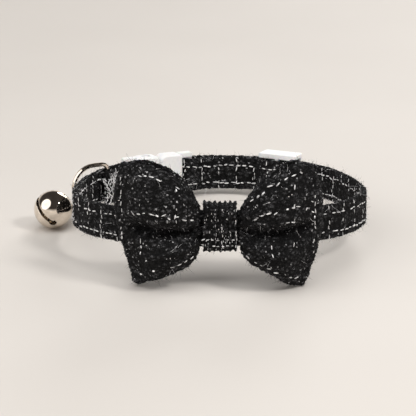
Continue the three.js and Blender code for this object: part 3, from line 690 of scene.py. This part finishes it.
def hem_frays():
    """White threads that have worked loose from the cut edge of the hem that holds the D ring."""
    ring = (Vector(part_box("d_ring")[0]) + Vector(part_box("d_ring")[1])) / 2
    halves = side_by_side(STRAP_LINE)
    ends = (0, halves[-1][0])
    k = min(ends, key=lambda i: (STRAP_LINE[i] - ring).length)
    around = len(STRAP_LINE)
    beside = (STRAP_LINE[(k + END_PROBE) % around] + STRAP_LINE[k - END_PROBE]) / 2
    ahead = (STRAP_LINE[k] - beside).normalized()
    inward = ahead.cross(UP)
    if inward.dot(ring - STRAP_LINE[k]) > 0:
        inward = -inward
    points, faces = [], []
    for _ in range(FRAY_COUNT):
        start = STRAP_LINE[k] + inward * random.uniform(0.9, 1.4) * MM + UP * random.uniform(-4.6, 3.4) * MM
        start -= ahead * random.uniform(-0.6, 4.2) * MM
        way = (UP * random.choice((-1, 1, 1)) + ahead * random.gauss(0, 0.5)).normalized()
        length = random.uniform(2.4, 5.2) * MM
        bend, seed = random.gauss(0, 0.45), random.random() * 50
        route = []
        for t in (i / FRAY_STEPS for i in range(FRAY_STEPS + 1)):
            wiggle = Vector((0, 0, seed + 5 * t))
            curl = ahead * (bend * t * t + 0.22 * noise.noise(wiggle))
            curl += inward * 0.1 * (1 + noise.noise(wiggle + UP))
            place = start + (way * t + curl) * length
            rise = (place - STRAP_LINE[k]).dot(UP)
            beyond = abs(rise) - STRAP_HALF - FRAY_BEYOND
            route.append(place - UP * math.copysign(max(0.0, beyond), rise))
        strand(points, faces, route, random.uniform(0.2, 0.42) * MM)
    return new_mesh("hem_frays", points, faces)


hem_threads = hem_frays()
strap_fuzz = fuzz("strap_fibres", strap, 3200, (0.5, 1.6), 0.07 * MM, 0.7)
bow_fuzz = fuzz("bow_fibres", bow, 3600, (0.4, 1.4), 0.07 * MM)
knot_fuzz = fuzz("knot_fibres", knot, 500, (0.4, 1.0), 0.06 * MM)
bright_fuzz = fuzz("strap_bright_fibres", strap, 560, (0.8, 2.2), 0.09 * MM, 0.9)
hem_fuzz = fuzz("bow_hem_fibres", bow, 1300, (0.8, 2.0), 0.1 * MM, 1.0, on_bow_hem)
bright_hem_fuzz = fuzz("bow_bright_fibres", bow, 170, (0.8, 1.8), 0.1 * MM, 0.9, on_bow_hem)


# Finishes

BALL_SHARE = 0.96  # skin farther out than this share of a ball's radius is shaded as the ball's
SMOOTH_ANGLE = math.radians(38)


def new_material(name):
    """A new finish, with its nodes, its links and its skin."""
    material = bpy.data.materials.new(name)
    material.use_nodes = True
    nodes = material.node_tree.nodes
    return material, nodes, material.node_tree.links, nodes["Principled BSDF"]


def add_node(nodes, kind, **values):
    """A new node with these values, each given to the input of that name or, without one, to the node."""
    node = nodes.new(kind)
    for key, value in values.items():
        if key in node.inputs:
            node.inputs[key].default_value = value
        else:
            setattr(node, key, value)
    return node


def ramp(nodes, *stops):
    """A node that turns a value into a colour, by stops of a place and its colour."""
    node = nodes.new("ShaderNodeValToRGB")
    node.color_ramp.elements.remove(node.color_ramp.elements[1])
    for i, (place, colour) in enumerate(stops):
        stop = node.color_ramp.elements[0] if i == 0 else node.color_ramp.elements.new(place)
        stop.position = place
        stop.color = (*colour, 1)
    return node


def tweed_group():
    """Looped yarn: a fine-grained mix of two colours, a mask of bright specks and a height."""
    group = bpy.data.node_groups.new("looped yarn", "ShaderNodeTree")
    face = group.interface
    face.new_socket("Yarns per Metre", in_out="INPUT", socket_type="NodeSocketFloat")
    face.new_socket("Dark", in_out="INPUT", socket_type="NodeSocketColor")
    face.new_socket("Light", in_out="INPUT", socket_type="NodeSocketColor")
    face.new_socket("Color", in_out="OUTPUT", socket_type="NodeSocketColor")
    face.new_socket("Speck", in_out="OUTPUT", socket_type="NodeSocketFloat")
    face.new_socket("Height", in_out="OUTPUT", socket_type="NodeSocketFloat")
    nodes, links = group.nodes, group.links
    given, out = nodes.new("NodeGroupInput"), nodes.new("NodeGroupOutput")
    place = nodes.new("ShaderNodeTexCoord")
    yarn = add_node(nodes, "ShaderNodeTexVoronoi", feature="F1")
    fine = add_node(nodes, "ShaderNodeTexNoise", Detail=4.0, Roughness=0.65)
    finer = add_node(nodes, "ShaderNodeMath", operation="MULTIPLY")
    finer.inputs[1].default_value = 1.1
    links.new(given.outputs["Yarns per Metre"], yarn.inputs["Scale"])
    links.new(given.outputs["Yarns per Metre"], finer.inputs[0])
    links.new(finer.outputs[0], fine.inputs["Scale"])
    links.new(place.outputs["Object"], yarn.inputs["Vector"])
    links.new(place.outputs["Object"], fine.inputs["Vector"])
    shade = ramp(nodes, (0.43, (0, 0, 0)), (0.63, (1, 1, 1)))
    links.new(fine.outputs["Fac"], shade.inputs["Fac"])
    mix = nodes.new("ShaderNodeMix")
    mix.data_type = "RGBA"
    links.new(shade.outputs["Color"], mix.inputs["Factor"])
    links.new(given.outputs["Dark"], mix.inputs["A"])
    links.new(given.outputs["Light"], mix.inputs["B"])
    links.new(mix.outputs["Result"], out.inputs["Color"])
    grey = nodes.new("ShaderNodeSeparateColor")
    links.new(yarn.outputs["Color"], grey.inputs["Color"])
    speck = ramp(nodes, (0.985, (0, 0, 0)), (0.995, (1, 1, 1)))
    links.new(grey.outputs["Red"], speck.inputs["Fac"])
    links.new(speck.outputs["Color"], out.inputs["Speck"])
    height = add_node(nodes, "ShaderNodeMath", operation="SUBTRACT")
    links.new(fine.outputs["Fac"], height.inputs[0])
    links.new(yarn.outputs["Distance"], height.inputs[1])
    links.new(height.outputs[0], out.inputs["Height"])
    return group


YARN_GROUP = tweed_group()


def painted_gap_shade_and_crown_light(nodes, links, colour):
    """The same colour with painted shade in the gaps between a grown cloth's yarns and painted light on their
    crowns.
    """
    height = nodes.new("ShaderNodeAttribute")
    height.attribute_name = "yarn_height"
    # Painted shade in the gaps between yarns and painted light on their crowns, read from the yarn heights.
    depth = ramp(nodes, (0.3, (0.08, 0.08, 0.08)), (0.6, (0.42, 0.42, 0.42)), (1.0, (1.3, 1.3, 1.3)))
    links.new(height.outputs["Fac"], depth.inputs["Fac"])
    shade = nodes.new("ShaderNodeMix")
    shade.data_type = "RGBA"
    shade.blend_type = "MULTIPLY"
    shade.inputs["Factor"].default_value = 1.0
    links.new(colour, shade.inputs["A"])
    links.new(depth.outputs["Color"], shade.inputs["B"])
    return shade.outputs["Result"]


def tweed_material(name, per_metre, dark, light, speck_colour, grown=False):
    """Yarn of two colours with specks. On a grown cloth, painted shade darkens the gaps between the yarns and
    painted light brightens their crowns, by the yarns' own heights.
    """
    material, nodes, links, skin = new_material(name)
    yarn = nodes.new("ShaderNodeGroup")
    yarn.node_tree = YARN_GROUP
    yarn.inputs["Yarns per Metre"].default_value = per_metre
    yarn.inputs["Dark"].default_value = (*dark, 1)
    yarn.inputs["Light"].default_value = (*light, 1)
    colour = yarn.outputs["Color"]
    if grown:
        colour = painted_gap_shade_and_crown_light(nodes, links, colour)
    mix = nodes.new("ShaderNodeMix")
    mix.data_type = "RGBA"
    mix.inputs["B"].default_value = (*speck_colour, 1)
    links.new(colour, mix.inputs["A"])
    links.new(yarn.outputs["Speck"], mix.inputs["Factor"])
    links.new(mix.outputs["Result"], skin.inputs["Base Color"])
    bump = add_node(nodes, "ShaderNodeBump", Strength=0.9, Distance=0.15 * MM)
    links.new(yarn.outputs["Height"], bump.inputs["Height"])
    links.new(bump.outputs["Normal"], skin.inputs["Normal"])
    skin.inputs["Roughness"].default_value = 0.82
    skin.inputs["Specular IOR Level"].default_value = 0.15
    return material


def silver_material():
    material, nodes, links, skin = new_material("silver thread")
    place = nodes.new("ShaderNodeTexCoord")
    glint = add_node(nodes, "ShaderNodeTexNoise", Scale=1400.0, Detail=2.0)
    tone = ramp(nodes, (0.35, (0.5, 0.5, 0.51)), (0.6, (0.97, 0.97, 0.98)))
    links.new(place.outputs["Object"], glint.inputs["Vector"])
    links.new(glint.outputs["Fac"], tone.inputs["Fac"])
    links.new(tone.outputs["Color"], skin.inputs["Base Color"])
    skin.inputs["Metallic"].default_value = 0.15
    skin.inputs["Roughness"].default_value = 0.34
    return material


def plastic_material():
    material, nodes, links, skin = new_material("white plastic")
    place = nodes.new("ShaderNodeTexCoord")
    haze = add_node(nodes, "ShaderNodeTexNoise", Scale=900.0, Detail=3.0)
    tone = ramp(nodes, (0.3, (0.83, 0.84, 0.85)), (0.7, (0.9, 0.9, 0.9)))
    rough = ramp(nodes, (0.3, (0.28, 0.28, 0.28)), (0.7, (0.42, 0.42, 0.42)))
    bump = add_node(nodes, "ShaderNodeBump", Strength=0.25, Distance=0.04 * MM)
    links.new(place.outputs["Object"], haze.inputs["Vector"])
    for node in (tone, rough):
        links.new(haze.outputs["Fac"], node.inputs["Fac"])
    links.new(haze.outputs["Fac"], bump.inputs["Height"])
    links.new(tone.outputs["Color"], skin.inputs["Base Color"])
    links.new(rough.outputs["Color"], skin.inputs["Roughness"])
    links.new(bump.outputs["Normal"], skin.inputs["Normal"])
    skin.inputs["Subsurface Weight"].default_value = 0.1
    skin.inputs["Subsurface Scale"].default_value = 1 * MM
    return material


def ball_group():
    """The way that a ball's own skin faces, for a skin made of flat faces. Its cut edges keep their own."""
    group = bpy.data.node_groups.new("round skin", "ShaderNodeTree")
    face = group.interface
    face.new_socket("Middle", in_out="INPUT", socket_type="NodeSocketVector")
    face.new_socket("Radius", in_out="INPUT", socket_type="NodeSocketFloat")
    face.new_socket("Normal", in_out="OUTPUT", socket_type="NodeSocketVector")
    nodes, links = group.nodes, group.links
    given, out = nodes.new("NodeGroupInput"), nodes.new("NodeGroupOutput")
    place, own = nodes.new("ShaderNodeTexCoord"), nodes.new("ShaderNodeNewGeometry")
    away = add_node(nodes, "ShaderNodeVectorMath", operation="SUBTRACT")
    reach = add_node(nodes, "ShaderNodeVectorMath", operation="LENGTH")
    faces = add_node(nodes, "ShaderNodeVectorMath", operation="NORMALIZE")
    share = add_node(nodes, "ShaderNodeMath", operation="DIVIDE")
    outer = add_node(nodes, "ShaderNodeMath", operation="GREATER_THAN")
    outer.inputs[1].default_value = BALL_SHARE
    pick = nodes.new("ShaderNodeMix")
    pick.data_type = "VECTOR"
    links.new(place.outputs["Object"], away.inputs[0])
    links.new(given.outputs["Middle"], away.inputs[1])
    links.new(away.outputs["Vector"], reach.inputs[0])
    links.new(away.outputs["Vector"], faces.inputs[0])
    links.new(reach.outputs["Value"], share.inputs[0])
    links.new(given.outputs["Radius"], share.inputs[1])
    links.new(share.outputs[0], outer.inputs[0])
    links.new(outer.outputs[0], pick.inputs["Factor"])
    links.new(own.outputs["Normal"], pick.inputs["A"])
    links.new(faces.outputs["Vector"], pick.inputs["B"])
    links.new(pick.outputs["Result"], out.inputs["Normal"])
    return group


def nickel_material(name="nickel plate", middle=None, radius=0.0):
    """Nickel plate. With a middle and a radius, the skin is shaded as that ball's."""
    material, nodes, links, skin = new_material(name)
    if middle:
        ball = nodes.new("ShaderNodeGroup")
        ball.node_tree = ball_group()
        ball.inputs["Middle"].default_value = middle
        ball.inputs["Radius"].default_value = radius
        links.new(ball.outputs["Normal"], skin.inputs["Normal"])
    place = nodes.new("ShaderNodeTexCoord")
    wear = add_node(nodes, "ShaderNodeTexNoise", Scale=500.0, Detail=5.0, Roughness=0.6)
    tone = ramp(nodes, (0.35, (0.66, 0.585, 0.5)), (0.65, (0.82, 0.74, 0.64)))
    rough = ramp(nodes, (0.35, (0.04, 0.04, 0.04)), (0.75, (0.12, 0.12, 0.12)))
    links.new(place.outputs["Object"], wear.inputs["Vector"])
    for node in (tone, rough):
        links.new(wear.outputs["Fac"], node.inputs["Fac"])
    links.new(tone.outputs["Color"], skin.inputs["Base Color"])
    links.new(rough.outputs["Color"], skin.inputs["Roughness"])
    skin.inputs["Metallic"].default_value = 1.0
    return material


def floor_material():
    material, nodes, links, skin = new_material("pale floor")
    place = nodes.new("ShaderNodeTexCoord")
    cloud = add_node(nodes, "ShaderNodeTexNoise", Scale=9.0, Detail=2.0)
    tone = ramp(nodes, (0.3, (0.65, 0.615, 0.575)), (0.7, (0.68, 0.645, 0.605)))
    links.new(place.outputs["Object"], cloud.inputs["Vector"])
    links.new(cloud.outputs["Fac"], tone.inputs["Fac"])
    links.new(tone.outputs["Color"], skin.inputs["Base Color"])
    skin.inputs["Roughness"].default_value = 0.7
    return material


TWEED = tweed_material(
    "black tweed", 2600.0, (0.007, 0.007, 0.008), (0.155, 0.155, 0.162), (0.42, 0.42, 0.43), grown=True,
)
ELASTIC = tweed_material(
    "black elastic", 2400.0, (0.004, 0.004, 0.004), (0.012, 0.012, 0.013), (0.02, 0.02, 0.02),
)
FIBRE = tweed_material(
    "black fibres", 1500.0, (0.004, 0.004, 0.005), (0.03, 0.03, 0.033), (0.12, 0.12, 0.12),
)
SILVER = silver_material()
WHITE = plastic_material()
NICKEL = nickel_material()
BELL_LOW = Vector(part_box("bell")[0])
BALL_MIDDLE = (Vector(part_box("bell_ball")[0]) + Vector(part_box("bell_ball")[1])) / 2
BELL_RADIUS = BALL_MIDDLE.x - BELL_LOW.x
BELL_MIDDLE = Vector((BALL_MIDDLE.x, BALL_MIDDLE.y, BELL_LOW.z + BELL_RADIUS))
BELL_NICKEL = nickel_material("bell nickel", BELL_MIDDLE, BELL_RADIUS)


def dress(o, material):
    o.data.materials.clear()
    o.data.materials.append(material)


for o in (strap, bow, knot):
    dress(o, TWEED)
for o in (strap_silver, bow_silver, knot_silver, bright_fuzz, bright_hem_fuzz, hem_threads):
    dress(o, SILVER)
for o in (strap_fuzz, bow_fuzz, knot_fuzz, hem_fuzz):
    dress(o, FIBRE)
for name, material in (
    ("bow_keeper", ELASTIC), ("buckle_plug", WHITE), ("buckle_socket", WHITE), ("slider", WHITE),
    ("d_ring", NICKEL), ("link_ring", NICKEL), ("bell", BELL_NICKEL), ("bell_ball", NICKEL),
):
    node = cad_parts[name]
    for slot in node.material_slots:
        slot.material = material
    select_only(node)
    bpy.ops.object.shade_smooth_by_angle(angle=SMOOTH_ANGLE)

# What each piece rides on; the solids that the cloth is drawn in place of are hidden

for o in (
    strap, bow, knot, strap_silver, bow_silver, knot_silver, hem_threads,
    strap_fuzz, bow_fuzz, knot_fuzz, bright_fuzz, hem_fuzz, bright_hem_fuzz,
):
    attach(o, "root")
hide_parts("strap")
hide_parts("bow")
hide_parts("bow_knot")

# The floor, the lights and the camera

bpy.ops.mesh.primitive_plane_add(size=6, location=(0, 0, 0))
floor = bpy.context.object
floor.name = "floor"
dress(floor, floor_material())


def soft_light(name, place, size, power, colour, aim):
    """A round light of this size, turned towards the place that it is aimed at."""
    bpy.ops.object.light_add(type="AREA", location=place)
    light = bpy.context.object
    light.name = name
    light.data.shape = "DISK"
    light.data.size = size
    light.data.energy = power
    light.data.color = colour
    light.rotation_euler = (Vector(aim) - Vector(place)).to_track_quat("-Z", "Y").to_euler()


loop_low, loop_high = (Vector(c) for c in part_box("strap"))
loop_middle = (loop_low + loop_high) / 2
loop_middle.z = MIDDLE * UP.z + (loop_middle.y - MIDDLE * UP.y) * -UP.y / UP.z
soft_light("key", (0.5, -0.3, 0.62), 0.18, 3.0, (1.0, 0.98, 0.96), loop_middle)
soft_light("fill", (-0.6, -0.35, 0.6), 1.0, 4.2, (1.0, 0.99, 0.98), loop_middle)
soft_light("back", (0.25, 0.75, 0.35), 0.4, 2.0, (1.0, 0.985, 0.97), loop_middle)
soft_light("ceiling", (0.05, -0.15, 0.95), 1.0, 5.6, (1.0, 0.99, 0.98), loop_middle)
bpy.data.objects["ceiling"].visible_glossy = False

bpy.context.scene.view_settings.view_transform = "Standard"
world = bpy.data.worlds.new("studio")
bpy.context.scene.world = world
world.use_nodes = True
sky = world.node_tree.nodes
around = sky.new("ShaderNodeTexCoord")
height = sky.new("ShaderNodeSeparateXYZ")
tone = ramp(sky, (0.0, (0.95, 0.88, 0.81)), (0.16, (0.9, 0.85, 0.8)), (0.4, (0.05, 0.045, 0.042)))
world.node_tree.links.new(around.outputs["Generated"], height.inputs[0])
world.node_tree.links.new(height.outputs["Z"], tone.inputs["Fac"])
world.node_tree.links.new(tone.outputs["Color"], sky["Background"].inputs["Color"])
sky["Background"].inputs["Strength"].default_value = 1.0

rise = VIEW_RISE + math.acos(UP.z)
toward = Vector((0, -math.cos(rise), math.sin(rise)))
view_up = Vector((0, math.sin(rise), math.cos(rise)))
half_frame = FRAME_PIXELS / 2
aside = (half_frame - LOOP_PIXEL[0]) / PIXELS_PER_MM * MM
below = (LOOP_PIXEL[1] - half_frame) / PIXELS_PER_MM * MM
target = loop_middle + ACROSS * aside + view_up * below
camera_data = bpy.data.cameras.new("camera")
camera_data.sensor_width = SENSOR
camera_data.lens = SENSOR * PIXELS_PER_MM / MM * VIEW_DISTANCE / FRAME_PIXELS
camera_data.clip_start = CLIP_START
camera = bpy.data.objects.new("camera", camera_data)
bpy.context.scene.collection.objects.link(camera)
turn = toward.to_track_quat("Z", "Y").to_matrix().to_4x4()
camera.matrix_world = Matrix.Translation(target + toward * VIEW_DISTANCE) @ turn
bpy.context.scene.camera = camera
